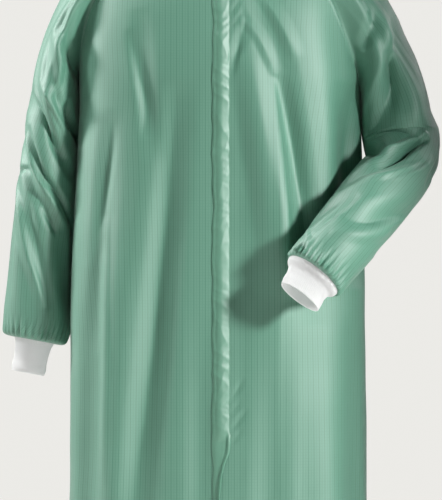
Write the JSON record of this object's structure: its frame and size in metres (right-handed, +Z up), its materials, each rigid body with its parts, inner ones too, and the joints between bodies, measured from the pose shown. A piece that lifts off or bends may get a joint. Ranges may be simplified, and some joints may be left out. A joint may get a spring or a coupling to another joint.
{
  "type": "cleanroom coat",
  "caption": "Long raglan-sleeved cleanroom coat, filled out as worn with nobody in it, with a low stand collar, a covered front zip and knit cuffs.",
  "frame": {"origin": "base of the wearer's neck, where the coat rests on the shoulders", "axes": "+Z up, the front faces -Y, +X to the wearer's left"},
  "size_m": [0.7431, 0.389, 1.1743],
  "materials": {
    "grid_polyester": "smooth woven polyester with a dark antistatic yarn grid",
    "satin_strip": "plain satin weave",
    "rib_knit": "fine rib knit"
  },
  "bodies": {
    "root": {"front_right": "grid_polyester", "front_left": "grid_polyester", "back": "grid_polyester", "sleeve_right": "grid_polyester", "sleeve_left": "grid_polyester", "collar": "grid_polyester", "cuff_right": "rib_knit", "cuff_left": "rib_knit", "zip_cover": "satin_strip"}
  },
  "joints": []
}
